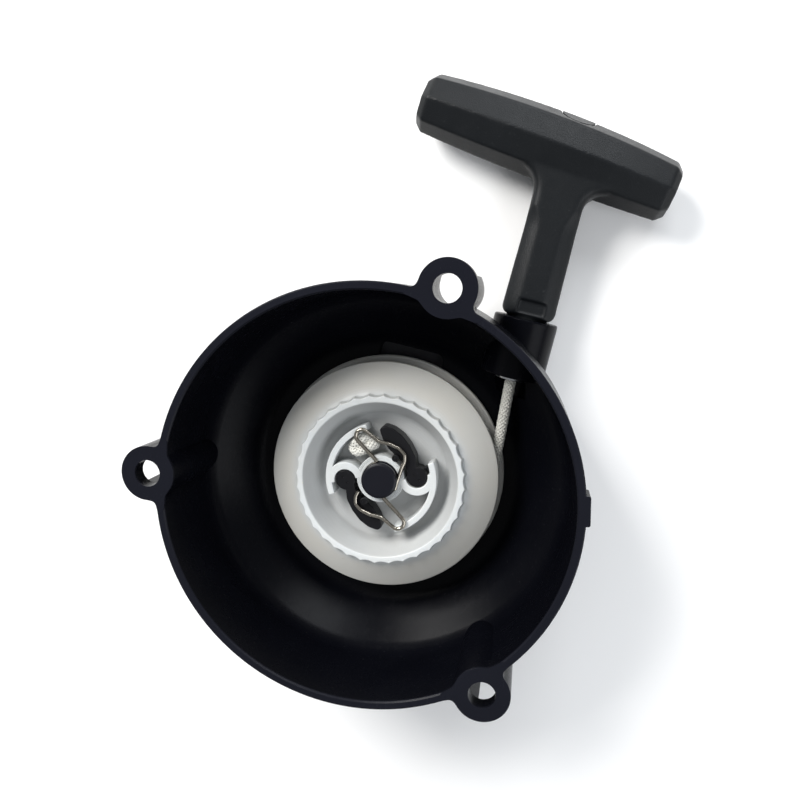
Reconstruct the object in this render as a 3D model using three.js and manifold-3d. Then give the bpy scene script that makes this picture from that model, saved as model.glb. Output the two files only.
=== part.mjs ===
// Recoil starter for a small engine: a bowl housing with three ears, a rope reel
// with two pawls driven by a wire friction clip, and a T-handle on the rope.
// Millimetres, +Z out of the open side of the bowl, +Y the way the rope is pulled.
// The origin is the centre of the flat back face, on the reel's axis.

import * as THREE from 'three';
import { mergeVertices } from 'three/addons/utils/BufferGeometryUtils.js';
import Module from 'manifold-3d';

const wasm = await Module();
wasm.setup();

// ---------------------------------------------------------------- driving dimensions

const gap = 0.3;              // between pieces that touch

const bowl = { rimRadius: 50, height: 39, wall: 2, floor: 3, backRadius: 35.6, footHeight: 14.1 };
const ear = { pitchRadius: 52, angles: [81.5, 188, 316], radius: 6.6, hole: 3.2, thickness: 4 };
const earWeb = {                                 // blends an ear that points along X into the rim
  outline: [
    [48.7, -9.9], [49.7, -6.7], [52, -6.55], [52, 6.55], [49.7, 6.7], [48.7, 9.9],
    [47.4, 8.35], [47.3, 5], [46.3, 3.3], [46.3, -3.3], [47.3, -5], [47.4, -8.35],
  ],
  corners: [0, 3, 0, 0, 3, 0, 0, 2, 0, 0, 2, 0],
};
const tab = { angle: 14, width: 6.8, reach: 0.8, depth: 6 };
const window_ = { left: -10, right: 7.3, near: 27.4, far: 33.4, corner: 2.2 };

const pull = { x: 25.5, z: 8 };                  // line on which the handle leaves
const outlet = { radius: 8, start: 26, end: 48, inside: 33.2, bore: 4.9, socket: 5.3, socketDepth: 4 };
const bush = { radius: 4.6, bore: 2.2, start: 32.4, end: 43.6 };

const post = { radius: 4.6, neck: 3.7, neckFloor: 16, neckTop: 17.1, top: 18.4, footRadius: 6.5, foot: 1.2 };

const reelSize = {
  back: 3.6, rearFlange: 31, rearTop: 5.2, hub: 17.5, frontUnder: 10.6, frontEdge: 12.1, frontFlange: 29.9,
  ringTop: 18.1, ringOut: 21.9, ringIn: 20.1, floor: 10.5, floorRadius: 16.6, bore: 4.75, boss: 6.1,
  cageTop: 16, cageOut: 14.5, cageIn: 12.9, cavity: 12.8, cavityRoof: 8, coverSeat: 13.7,
};
const cageArc = { start: 118, end: 213 };        // degrees, and again half a turn on
const springSize = { inner: 6.4, outer: 12.2, turns: 6, strip: 0.4, bottom: 4.9, top: 7.6 };

const pivot = { x: 8.9, y: 2.9, disc: 2.6, socket: 2.85, wall: 4.8 };
const pawl = { bottom: 10.9, top: 15.6, lugTop: 17.4, lugX: 2.7, lugY: 6.6, lugRadius: 0.95 };
const wire = {
  radius: 0.45, z: 16.55, hairpinX: -7.2, hairpinY: 9.75, hairpinRadius: 1.5, lean: 147, wrapRadius: 4.2,
};

const rope = { radius: 1.6, laneRadius: 27.3, innerRadius: 17.8, woundRadius: 25.3 };
const handleSize = {
  base: 48.3, spigot: 4.9, spigotStart: 44.6, barCentre: 88.3, tilt: -8.3, left: 38.2, right: 26.3,
  barRadius: 8.6, endRadius: 7.3, depthScale: 0.88, stemDepth: 11.4, ropeBore: 2.1, chamber: 4.2,
  chamberFloor: 87.9, plugStart: 93.1, plugGap: 0.12,
};
const handleKnot = { radius: 3.7, flatness: 0.68 };

const rad = THREE.MathUtils.degToRad;

// ---------------------------------------------------------------- solids and shapes

// A closed geometry as a manifold solid, turned outward if its faces point inward.
function solid(geometry) {
  let bare = geometry.index ? geometry.toNonIndexed() : geometry.clone();
  bare.deleteAttribute('normal');
  bare.deleteAttribute('uv');
  bare = mergeVertices(bare, 1e-4);
  const triangles = Uint32Array.from(bare.index.array);
  const vertices = Float32Array.from(bare.attributes.position.array);
  const build = (triVerts) => {
    const mesh = new wasm.Mesh({ numProp: 3, vertProperties: vertices, triVerts });
    return new wasm.Manifold(mesh);
  };
  const body = build(triangles);
  if (body.volume() > 0) return body;
  for (let i = 0; i < triangles.length; i += 3) {
    [triangles[i], triangles[i + 1]] = [triangles[i + 1], triangles[i]];
  }
  return build(triangles);
}

function toGeometry(body) {
  const mesh = body.getMesh();
  const geometry = new THREE.BufferGeometry();
  geometry.setAttribute('position', new THREE.BufferAttribute(Float32Array.from(mesh.vertProperties), 3));
  geometry.setIndex(Array.from(mesh.triVerts));
  const flat = geometry.toNonIndexed();
  flat.computeVertexNormals();
  return flat;
}

function union(...bodies) {
  return bodies.reduce((sum, body) => sum.add(body));
}

// A polygon's corners rounded to the given radii (a number, or one for each corner).
function rounded(points, radii, steps = 3) {
  const count = points.length;
  const result = [];
  points.forEach((point, i) => {
    const corner = new THREE.Vector2(...point);
    const radius = Array.isArray(radii) ? radii[i] : radii;
    const before = new THREE.Vector2(...points[(i + count - 1) % count]).sub(corner);
    const after = new THREE.Vector2(...points[(i + 1) % count]).sub(corner);
    const halfAngle = Math.abs(before.angleTo(after)) / 2;
    const reach = Math.min(radius / Math.tan(halfAngle), before.length() * 0.49, after.length() * 0.49);
    if (radius === 0 || reach < 1e-3) {
      result.push(corner);
      return;
    }
    const start = corner.clone().addScaledVector(before.normalize(), reach);
    const end = corner.clone().addScaledVector(after.normalize(), reach);
    result.push(...new THREE.QuadraticBezierCurve(start, corner, end).getPoints(steps));
  });
  return result;
}

// A closed outline of radius and height turned about the Z axis.
function turned(outline, segments = 60) {
  const ring = [...outline, outline[0]];
  return solid(new THREE.LatheGeometry(ring, segments).rotateX(Math.PI / 2));
}

function disc(radius, bottom, top, x = 0, y = 0, segments = 36) {
  const geometry = new THREE.CylinderGeometry(radius, radius, top - bottom, segments);
  return solid(geometry.rotateX(Math.PI / 2).translate(x, y, (top + bottom) / 2));
}

// A rod along +Y on the line where the handle leaves.
function pullRod(radius, start, end, segments = 32) {
  const geometry = new THREE.CylinderGeometry(radius, radius, end - start, segments);
  return solid(geometry.translate(pull.x, (start + end) / 2, pull.z));
}

function block(width, depth, height, x, y, z) {
  return solid(new THREE.BoxGeometry(width, depth, height).translate(x, y, z));
}

function extruded(shape, bottom, top, curveSegments = 12) {
  const options = { depth: top - bottom, bevelEnabled: false, curveSegments };
  return solid(new THREE.ExtrudeGeometry(shape, options).translate(0, 0, bottom));
}

function ringSector(inner, outer, startAngle, endAngle, bottom, top, x = 0, y = 0) {
  const shape = new THREE.Shape();
  shape.absarc(x, y, outer, rad(startAngle), rad(endAngle), false);
  shape.absarc(x, y, inner, rad(endAngle), rad(startAngle), true);
  return extruded(shape, bottom, top, 12);
}

function tube(curve, radius, steps, sides) {
  const section = new THREE.Shape();
  section.absarc(0, 0, radius, 0, Math.PI * 2);
  const options = { steps, bevelEnabled: false, extrudePath: curve, curveSegments: sides / 2 };
  return solid(new THREE.ExtrudeGeometry(section, options));
}

function polar(radius, angle) {
  return [radius * Math.cos(rad(angle)), radius * Math.sin(rad(angle))];
}

// A body turned about Z by an angle in degrees.
function spun(body, angle) {
  return body.rotate([0, 0, angle]);
}

// ---------------------------------------------------------------- housing

function innerOutline() {
  const { rimRadius, height, wall, floor } = bowl;
  const points = [
    [0, floor], [35.5, floor], [rimRadius - wall - 0.4, 15], [rimRadius - wall, height],
    [rimRadius - wall, height + 5], [0, height + 5],
  ];
  return rounded(points, [0, 7, 8, 0, 0, 0]);
}

function outerOutline(top = bowl.height) {
  const { rimRadius, backRadius, footHeight } = bowl;
  const points = [[0, 0], [backRadius, 0], [rimRadius - 0.3, footHeight], [rimRadius, top], [0, top]];
  return rounded(points, [0, 6, 8, 0.6, 0]);
}

// Each ear is a lug on a column that bulges into the bowl; a groove behind the lug
// lets the bolt's head and a driver in, and leaves a rib on each side.
function ears() {
  const { pitchRadius, angles, radius, hole, thickness } = ear;
  const under = bowl.height - thickness;
  const envelope = turned([[0, 8], [44, 8], [60, 24], [60, bowl.height], [0, bowl.height]]
    .map((p) => new THREE.Vector2(...p)), 48);
  const web = extruded(new THREE.Shape(rounded(earWeb.outline, earWeb.corners)), under, bowl.height);
  const column = disc(radius, 8, bowl.height, pitchRadius).intersect(envelope).add(web);
  const grooveRadius = radius - 2;
  const groove = union(
    disc(grooveRadius, -1, under, pitchRadius),
    block(10, grooveRadius * 2, under + 1, pitchRadius + 5, 0, (under - 1) / 2),
  );
  const bolt = disc(hole, under - 1, bowl.height + 1, pitchRadius, 0, 32);
  return {
    columns: union(...angles.map((a) => spun(column, a))),
    cuts: union(...angles.map((a) => spun(groove.add(bolt), a))),
  };
}

function rearWindow() {
  const { left, right, near, far, corner } = window_;
  const outline = rounded([[left, near], [right, near], [right, far], [left, far]], corner);
  return extruded(new THREE.Shape(outline), -1, bowl.floor + 1);
}

function makeHousing() {
  const inside = turned(innerOutline());
  const { columns, cuts } = ears();
  const rimTab = spun(block(3, tab.width, tab.depth, bowl.rimRadius + tab.reach - 1.5, 0,
    bowl.height - tab.depth / 2), tab.angle);
  const boss = pullRod(outlet.radius, outlet.start, outlet.end, 48);
  const shell = turned(outerOutline()).add(boss).add(rimTab).subtract(inside);
  const innerBoss = pullRod(outlet.radius, outlet.inside, outlet.end, 48);
  const coreOfBowl = disc(bowl.rimRadius - bowl.wall / 2, bowl.floor / 2, bowl.height);
  return shell
    .add(columns)
    .add(innerBoss.intersect(coreOfBowl))
    .subtract(cuts)
    .subtract(pullRod(outlet.bore, outlet.start - 10, outlet.end))
    .subtract(pullRod(outlet.socket, outlet.end - outlet.socketDepth, outlet.end + 1))
    .subtract(rearWindow())
    .subtract(disc(post.radius + gap, -1, 5))
    .subtract(disc(post.footRadius + gap, -1, post.foot + gap));
}

function makePost() {
  const { radius, neck, neckFloor, neckTop, top, footRadius, foot } = post;
  const points = [
    [0, 0], [footRadius, 0], [footRadius, foot], [radius, foot], [radius, neckFloor], [neck, neckFloor],
    [neck, neckTop], [radius, neckTop], [radius, top], [0, top],
  ];
  return turned(rounded(points, [0, 0, 0, 0, 0, 0, 0, 0, 0.7, 0], 2), 36);
}

function makeBush() {
  const bore = pullRod(bush.bore, bush.start - 1, bush.end + 1, 24);
  return pullRod(bush.radius, bush.start, bush.end).subtract(bore);
}

// ---------------------------------------------------------------- reel

function reelOutline() {
  const r = reelSize;
  const coverDepth = 1.1;
  const points = [
    [r.bore, r.cageTop], [r.boss, r.cageTop], [r.boss, r.floor], [r.floorRadius, r.floor],
    [r.ringIn, r.ringTop], [r.ringOut, r.ringTop], [r.ringOut + 0.3, r.ringTop - 1.6],
    [r.frontFlange, r.frontEdge], [r.frontFlange, r.frontUnder], [r.hub, r.frontUnder], [r.hub, r.rearTop],
    [r.rearFlange, r.rearTop], [r.rearFlange, r.back], [r.coverSeat, r.back],
    [r.coverSeat, r.back + coverDepth], [r.cavity, r.back + coverDepth],
    [r.cavity, r.cavityRoof], [r.bore, r.cavityRoof],
  ];
  const radii = points.map((_, i) => ([3, 4, 5, 7, 8].includes(i) ? 0.5 : 0));
  return rounded(points, radii, 1);
}

// The knot's rope reaches the groove through a slanted hole that dips under the cage.
const knotHole = new THREE.LineCurve3(new THREE.Vector3(-6.6, 6.6, 11.7), new THREE.Vector3(-13, 13, 5.7));

function makeReel() {
  const r = reelSize;
  const bottom = r.floor - 0.3;
  const halfCage = union(
    ringSector(r.cageIn, r.cageOut, cageArc.start, cageArc.end, bottom, r.cageTop),
    ringSector(pivot.socket, pivot.wall, 25, 207, bottom, r.cageTop, -pivot.x, -pivot.y),
  );
  const bore = disc(r.bore, 0, 30);
  return turned(reelOutline())
    .add(halfCage)
    .add(spun(halfCage, 180))
    .subtract(bore)
    .subtract(tube(knotHole, rope.radius + 0.2, 2, 12));
}

function makeSpring() {
  const { inner, outer, turns, strip, bottom, top } = springSize;
  const stepsPerTurn = 24;
  const count = turns * stepsPerTurn;
  const edge = (offset) => Array.from({ length: count + 1 }, (_, i) => {
    const radius = inner + ((outer - inner) * i) / count + offset;
    return new THREE.Vector2(...polar(radius, (360 * i) / stepsPerTurn));
  });
  return extruded(new THREE.Shape([...edge(strip), ...edge(0).reverse()]), bottom, top);
}

function makeSpringCover() {
  const thickness = 0.8;
  const bottom = reelSize.back + 0.1;
  return disc(reelSize.coverSeat - gap, bottom, bottom + thickness).subtract(disc(post.radius + 0.6, 3, 5));
}

// ---------------------------------------------------------------- pawls and friction clip

function makePawl() {
  const arm = rounded([
    [8.2, 5.4], [7.4, 7.9], [5.3, 10.4], [2.8, 12.4], [0.2, 13.5], [-2.4, 13.7], [-3.3, 12.4], [-1.7, 9.9],
    [0.3, 8], [3, 6.5], [5.6, 4.9], [6.7, 2.6], [8.9, 2.9],
  ], [0.8, 3, 3, 3, 3, 1.2, 1.2, 3, 3, 3, 2, 0, 0], 3);
  const heel = rounded([[9, 5], [10.9, 5.9], [11.2, 4]], 0.5, 2);
  return union(
    disc(pivot.disc, pawl.bottom, pawl.top, pivot.x, pivot.y, 32),
    extruded(new THREE.Shape(arm), pawl.bottom, pawl.top),
    extruded(new THREE.Shape(heel), pawl.bottom, pawl.bottom + 2.4),
    disc(pawl.lugRadius, pawl.top - 0.5, pawl.lugTop, pawl.lugX, pawl.lugY, 24),
  );
}

// One wire: a wrap round the post's neck, and on each side a hairpin whose outer leg
// bends into a hook over the pawl's lug.
function clipPath() {
  const arc = (x, y, radius, from, to, count) => Array.from({ length: count + 1 }, (_, i) => {
    const [dx, dy] = polar(radius, from + ((to - from) * i) / count);
    return [x + dx, y + dy];
  });
  const { hairpinX, hairpinY, hairpinRadius, lean, wrapRadius } = wire;
  const half = [
    ...arc(hairpinX, hairpinY, hairpinRadius, lean + 90, lean - 90, 6),
    [-2.6, 9.6], [0.3, 9.7], [2.9, 9.2], [4.7, 8], [5.1, 6.2], [4.75, 4.6],
  ];
  const mirrored = half.map(([x, y]) => [-x, -y]).reverse();
  const wrap = arc(0, 0, wrapRadius, 288, 128, 8);
  const tail = [[4.6, 2.7], [4.4, 0.6], [4.35, -1.8]];
  return [...mirrored, ...wrap, [-1.75, 4.4], ...half, ...tail];
}

function makeClip() {
  const points = clipPath();
  const corners = rounded(points, 1.2, 3).slice(4, -4);
  const ends = [points[0], points[points.length - 1]];
  const route = [ends[0], ...corners.map((p) => [p.x, p.y]), ends[1]];
  const curve = new THREE.CurvePath();
  for (let i = 1; i < route.length; i += 1) {
    const [start, end] = [route[i - 1], route[i]].map(([x, y]) => new THREE.Vector3(x, y, wire.z));
    if (start.distanceTo(end) > 0.05) curve.add(new THREE.LineCurve3(start, end));
  }
  const smooth = new THREE.CatmullRomCurve3(curve.getSpacedPoints(100));
  return tube(smooth, wire.radius, 110, 8);
}

// ---------------------------------------------------------------- rope

function makeWinding() {
  const side = 0.3;
  const points = [
    [rope.innerRadius, reelSize.rearTop + side], [rope.woundRadius, reelSize.rearTop + side],
    [rope.woundRadius, reelSize.frontUnder - side], [rope.innerRadius, reelSize.frontUnder - side],
  ];
  return turned(rounded(points, [0, 1.2, 1.2, 0], 2), 48);
}

// The outermost part of the last turn, the straight run to the guide, and the
// stretch through the guide to the handle's foot.
function makeLead() {
  const turnedPart = Array.from({ length: 12 }, (_, i) => polar(rope.laneRadius, -115 + 10.7 * i));
  const straight = [[27.26, 6], [26.4, 20], [25.55, 33], [pull.x, 38], [pull.x, 44.2]];
  const points = [...turnedPart, ...straight].map(([x, y]) => new THREE.Vector3(x, y, pull.z));
  return tube(new THREE.CatmullRomCurve3(points), rope.radius, 44, 8);
}

function makeReelKnot() {
  const lobe = (x, y, z, radius) => solid(new THREE.SphereGeometry(radius, 14, 10).translate(x, y, z));
  const stem = new THREE.LineCurve3(knotHole.getPoint(0), knotHole.getPoint(0.4));
  return union(
    lobe(-8.6, 6.2, 13.3, 1.85), lobe(-6.8, 8.5, 13.4, 1.55), lobe(-4.1, 7.3, 13.4, 1.6),
    lobe(-6.6, 7.2, 12.8, 1.75), tube(stem, rope.radius - 0.2, 2, 8),
  );
}

function makeHandleRun() {
  return pullRod(rope.radius, 44.6, 87.6, 10);
}

function makeHandleKnot() {
  const { radius, flatness } = handleKnot;
  const middle = handleSize.chamberFloor + radius * flatness + 0.05;
  const ball = new THREE.SphereGeometry(radius, 16, 10).scale(1, flatness, 1);
  return solid(ball.translate(pull.x, middle, pull.z));
}

// ---------------------------------------------------------------- handle

// An eight-sided bar, thickest over the stem and chamfered at both ends.
function makeBar() {
  const { left, right, barRadius, endRadius, depthScale, tilt, barCentre } = handleSize;
  const profile = [
    [0, -left + 0.4], [endRadius - 1.8, -left], [endRadius, -left + 2], [barRadius - 0.4, -left / 2],
    [barRadius, 0],
    [barRadius - 0.4, right / 2], [endRadius, right - 2], [endRadius - 1.8, right], [0, right - 0.4],
  ].map(([r, u]) => new THREE.Vector2(r, u));
  const bar = new THREE.LatheGeometry(profile, 8)
    .scale(1, 1, depthScale)
    .rotateZ(rad(tilt - 90))
    .translate(pull.x, barCentre, pull.z);
  return solid(bar);
}

// The stem's outline flares into the bar; its long edges are rounded by an oval.
function makeStem() {
  const { base, stemDepth, tilt } = handleSize;
  const under = (x) => 80.7 + x * Math.tan(rad(tilt));
  const points = [
    [-6.65, base], [-6.1, 70], [-6.1, under(-6.1)], [-17, under(-17)], [-14, 88], [14, 86], [17, under(17)],
    [6.3, under(6.3)], [6.3, 70], [6.65, base],
  ];
  const outline = rounded(points, [0.8, 20, 5.5, 0, 0, 0, 0, 5, 20, 0.8], 5);
  const plate = extruded(new THREE.Shape(outline), -stemDepth / 2, stemDepth / 2)
    .translate([pull.x, 0, pull.z]);
  const shoulder = 76;
  const oval = solid(new THREE.CylinderGeometry(7.6, 7.6, shoulder - base + 1, 40).scale(1, 1, stemDepth / 14)
    .translate(pull.x, (shoulder + base - 1) / 2, pull.z));
  return plate.intersect(oval.add(block(60, 30, stemDepth, pull.x, shoulder + 14.9, pull.z)));
}

function makeHandle() {
  const { spigot, spigotStart, ropeBore, chamber, chamberFloor, barCentre, stemDepth } = handleSize;
  const pocket = block(7, 3.6, 2, pull.x + 0.6, 50.9, pull.z + stemDepth / 2 + 0.1);
  return makeBar()
    .add(makeStem())
    .add(pullRod(spigot, spigotStart, 52))
    .subtract(pocket)
    .subtract(pullRod(ropeBore, 40, barCentre))
    .subtract(pullRod(chamber, chamberFloor, 100));
}

// The plug's outer end lies flush with the bar around it.
function makePlug() {
  const { chamber, plugStart, plugGap } = handleSize;
  return makeBar().intersect(pullRod(chamber - plugGap, plugStart, 100, 28));
}

// ---------------------------------------------------------------- assembly

const looks = {
  housing: { color: 0x17181d, roughness: 0.42, metalness: 0 },
  post: { color: 0x1b1c22, roughness: 0.4, metalness: 0 },
  nylon: { color: 0xe6e8e6, roughness: 0.38, metalness: 0 },
  pawl: { color: 0x141418, roughness: 0.45, metalness: 0 },
  steel: { color: 0xa9a59b, roughness: 0.25, metalness: 1 },
  springSteel: { color: 0x55585f, roughness: 0.35, metalness: 1 },
  rope: { color: 0xe4ded0, roughness: 0.8, metalness: 0 },
  handle: { color: 0x24272a, roughness: 0.55, metalness: 0 },
};

const starter = new THREE.Group();

function place(name, body, look) {
  const mesh = new THREE.Mesh(toGeometry(body), new THREE.MeshStandardMaterial(looks[look]));
  mesh.name = name;
  starter.add(mesh);
  return mesh;
}

place('housing', makeHousing(), 'housing');
place('reel_post', makePost(), 'post');
place('rope_guide_bush', makeBush(), 'steel');
place('reel', makeReel(), 'nylon');
place('spring_cover', makeSpringCover(), 'nylon');
place('recoil_spring', makeSpring(), 'springSteel');
place('pawl_1', makePawl(), 'pawl');
place('pawl_2', makePawl(), 'pawl').rotation.z = Math.PI;
place('friction_clip', makeClip(), 'steel');
place('rope_winding', makeWinding(), 'rope');
place('rope_lead', makeLead(), 'rope');
place('rope_reel_knot', makeReelKnot(), 'rope');
place('rope_handle_run', makeHandleRun(), 'rope');
place('rope_handle_knot', makeHandleKnot(), 'rope');
place('handle', makeHandle(), 'handle');
place('handle_plug', makePlug(), 'handle');

export default starter;
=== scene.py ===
"""Looks of a recoil starter: bowl housing, rope reel, pawls, friction clip, braided rope and T-handle."""

import math
from math import cos, sin, tau

import bpy
from bpy.props import FloatProperty, FloatVectorProperty, IntProperty, PointerProperty
from mathutils import Matrix, Vector


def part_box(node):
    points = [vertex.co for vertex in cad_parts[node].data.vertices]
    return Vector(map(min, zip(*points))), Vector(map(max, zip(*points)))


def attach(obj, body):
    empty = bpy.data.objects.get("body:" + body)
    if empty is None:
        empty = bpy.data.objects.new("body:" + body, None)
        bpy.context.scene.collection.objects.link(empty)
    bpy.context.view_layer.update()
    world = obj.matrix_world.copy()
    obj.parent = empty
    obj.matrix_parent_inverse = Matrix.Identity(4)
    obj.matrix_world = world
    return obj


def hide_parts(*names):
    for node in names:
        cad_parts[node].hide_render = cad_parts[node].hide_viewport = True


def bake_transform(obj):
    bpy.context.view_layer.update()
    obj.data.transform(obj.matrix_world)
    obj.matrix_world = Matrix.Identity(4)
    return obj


bl_info = {
    "name": "Recoil Starter",
    "version": (1, 0, 0),
    "blender": (4, 5, 0),
    "location": "View3D > Sidebar > Starter",
    "description": "Builds the visible pieces of a small engine's recoil starter around its CAD frame",
    "category": "Add Mesh",
}

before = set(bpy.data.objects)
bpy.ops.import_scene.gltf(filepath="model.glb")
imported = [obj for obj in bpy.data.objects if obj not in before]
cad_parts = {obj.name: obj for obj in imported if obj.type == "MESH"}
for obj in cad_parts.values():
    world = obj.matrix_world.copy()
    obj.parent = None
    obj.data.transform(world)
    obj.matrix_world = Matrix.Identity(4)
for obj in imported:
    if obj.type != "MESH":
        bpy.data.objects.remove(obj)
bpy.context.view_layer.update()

MM = 0.001
WELD = 1e-6
UP = Vector((0, 0, 1))


def reach(node, axis):
    """How far a CAD node's box goes to both sides along one axis, in millimetres."""
    low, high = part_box(node)
    return low[axis] / MM, high[axis] / MM


RIM_HEIGHT = reach("housing", 2)[1]
POST_TOP = reach("reel_post", 2)[1]
REEL_TOP = reach("reel", 2)[1]
ROPE_HEIGHT = sum(reach("rope_lead", 2)) / 2
PULL_X = sum(reach("rope_handle_run", 0)) / 2


# ---------------------------------------------------------------- sizes and colours

def length(name, description, millimetres):
    """A scene property for a size, stored in metres and given here in millimetres."""
    return FloatProperty(name=name, description=description, default=millimetres * MM,
                         unit="LENGTH", precision=5)


def tint(name, description, red, green, blue):
    return FloatVectorProperty(name=name, description=description, default=(red, green, blue, 1),
                               subtype="COLOR", size=4, min=0, max=1)


class HousingSizes(bpy.types.PropertyGroup):
    rim: length("Rim radius", "Outside radius of the bowl at its rim", 50)
    wall: length("Wall", "Thickness of the bowl's wall", 2)
    back: length("Back radius", "Radius of the flat back", 35.6)
    foot: length("Foot height", "Height at which the back's cone meets the wall", 14.1)
    floor: length("Floor", "Thickness of the bowl's floor", 3)
    ear_circle: length("Ear circle", "Radius on which the bolt holes lie", 52)
    ear: length("Ear radius", "Radius of each bolt ear", 6.6)
    bolt: length("Bolt hole", "Radius of each bolt hole", 3.2)
    outlet: length("Outlet radius", "Outside radius of the rope outlet", 8)


class ReelSizes(bpy.types.PropertyGroup):
    rear: length("Rear flange", "Radius of the flange next to the housing", 31)
    front: length("Front flange", "Radius of the flange on the open side", 29.9)
    ring: length("Ring radius", "Outside radius of the raised ring", 21.9)
    scallops: IntProperty(name="Scallops", description="Scallops round the raised ring", default=36, min=3)
    scallop: length("Scallop depth", "How deep each scallop cuts into the ring", 0.5)
    cage: length("Cage radius", "Outside radius of the wall round the pawls", 14.5)
    wire: length("Clip wire", "Radius of the friction clip's wire", 0.5)


class RopeSizes(bpy.types.PropertyGroup):
    radius: length("Rope radius", "Radius of the rope over its strands", 1.55)
    lay: length("Lay", "Length in which a strand goes once round the rope", 8.2)
    strands: IntProperty(name="Strands", description="Strands that wind each way", default=8, min=3)


class HandleSizes(bpy.types.PropertyGroup):
    left: length("Bar left", "Length of the bar on the longer side of the rope", 38.2)
    right: length("Bar right", "Length of the bar on the shorter side of the rope", 26.3)
    bar: length("Bar radius", "Radius of the bar's eight corners at its middle", 8.6)
    depth: length("Stem depth", "Front to back depth of the stem", 11.4)
    tilt: FloatProperty(name="Tilt", description="Angle of the bar from square", subtype="ANGLE",
                        default=math.radians(-8.3))


class StarterColours(bpy.types.PropertyGroup):
    housing: tint("Housing", "Black plastic of the bowl", 0.0016, 0.0018, 0.0032)
    post: tint("Post", "Black plastic of the post and its head", 0.0048, 0.005, 0.0085)
    pawl: tint("Pawls", "Black plastic of the pawls", 0.0045, 0.0045, 0.0058)
    nylon: tint("Reel", "White nylon of the reel", 0.63, 0.63, 0.62)
    steel: tint("Clip", "Plated spring wire", 0.42, 0.385, 0.33)
    bush: tint("Bush", "Steel of the rope guide", 0.52, 0.53, 0.55)
    spring: tint("Spring", "Blued spring strip", 0.14, 0.15, 0.17)
    rope: tint("Rope", "Braided polyester", 0.86, 0.85, 0.79)
    handle: tint("Handle", "Charcoal plastic of the T-handle", 0.0052, 0.0062, 0.0074)
    floor: tint("Floor", "Pale floor under the starter", 0.95, 0.95, 0.95)


GROUPS = {"starter_housing": HousingSizes, "starter_reel": ReelSizes, "starter_rope": RopeSizes,
          "starter_handle": HandleSizes, "starter_colours": StarterColours}


# ---------------------------------------------------------------- shader drawing

class Wire:
    """A node's output that can be used in arithmetic; each operation adds a Math node."""

    def __init__(self, sheet, socket):
        self.sheet = sheet
        self.socket = socket

    def __add__(self, other):
        return self.sheet.math("ADD", self, other)

    def __sub__(self, other):
        return self.sheet.math("SUBTRACT", self, other)

    def __rsub__(self, other):
        return self.sheet.math("SUBTRACT", other, self)

    def __mul__(self, other):
        return self.sheet.math("MULTIPLY", self, other)

    __radd__ = __add__
    __rmul__ = __mul__


class Finish:
    """A surface finish drawn as shader nodes on one Principled material."""

    def __init__(self, name):
        self.material = bpy.data.materials.new(name)
        self.material.use_nodes = True
        self.tree = self.material.node_tree
        self.shader = self.tree.nodes["Principled BSDF"]

    def node(self, kind, settings=None, values=None, output=0):
        """A new node of a type: its settings first, then the values or links of its sockets."""
        made = self.tree.nodes.new(kind)
        for key, value in (settings or {}).items():
            if key == "stops":
                for stop, (position, colour) in zip(made.color_ramp.elements, value):
                    stop.position, stop.color = position, colour
            else:
                setattr(made, key, value)
        for key, value in (values or {}).items():
            self.join(value, made.inputs[key])
        return Wire(self, made.outputs[output])

    def join(self, value, socket):
        if isinstance(value, Wire):
            self.tree.links.new(value.socket, socket)
        else:
            socket.default_value = value

    def math(self, operation, *values):
        return self.node("ShaderNodeMath", {"operation": operation}, dict(enumerate(values)))

    def place(self):
        return self.node("ShaderNodeTexCoord", output="Object")

    def along(self):
        """The piece's own map: across a strand, and along it in millimetres."""
        return self.node("ShaderNodeTexCoord", output="UV")

    def stretched(self, vector, x, y, z):
        return self.node("ShaderNodeVectorMath", {"operation": "MULTIPLY"}, {0: vector, 1: (x, y, z)})

    def noise(self, vector, scale, detail=3, roughness=0.5):
        return self.node("ShaderNodeTexNoise", None,
                         {"Vector": vector, "Scale": scale, "Detail": detail, "Roughness": roughness})

    def ramp(self, factor, low, high, low_value=0.0, high_value=1.0):
        """The factor's span from low to high taken to two grey levels, with a smooth start and end."""
        return self.node("ShaderNodeMapRange", {"interpolation_type": "SMOOTHSTEP"},
                         {0: factor, 1: low, 2: high, 3: low_value, 4: high_value})

    def mix(self, factor, first, second):
        return self.node("ShaderNodeMix", {"data_type": "RGBA"}, {0: factor, 6: first, 7: second}, output=2)

    def bump(self, height, depth, strength=1.0, under=None):
        """A bump of that depth in millimetres, on top of another one if given."""
        values = {"Strength": strength, "Distance": depth * MM, "Height": height}
        if under is not None:
            values["Normal"] = under
        return self.node("ShaderNodeBump", None, values)

    def set(self, **values):
        """Sets the shader's sockets, their names written with underscores."""
        for key, value in values.items():
            self.join(value, self.shader.inputs[key.replace("_", " ")])
        return self.material


def paler(colour, times, plus=0.0):
    """A colour brightened by a factor, with a little grey added."""
    return tuple(min(1.0, c * times + plus) for c in colour[:3]) + (1,)


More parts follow.
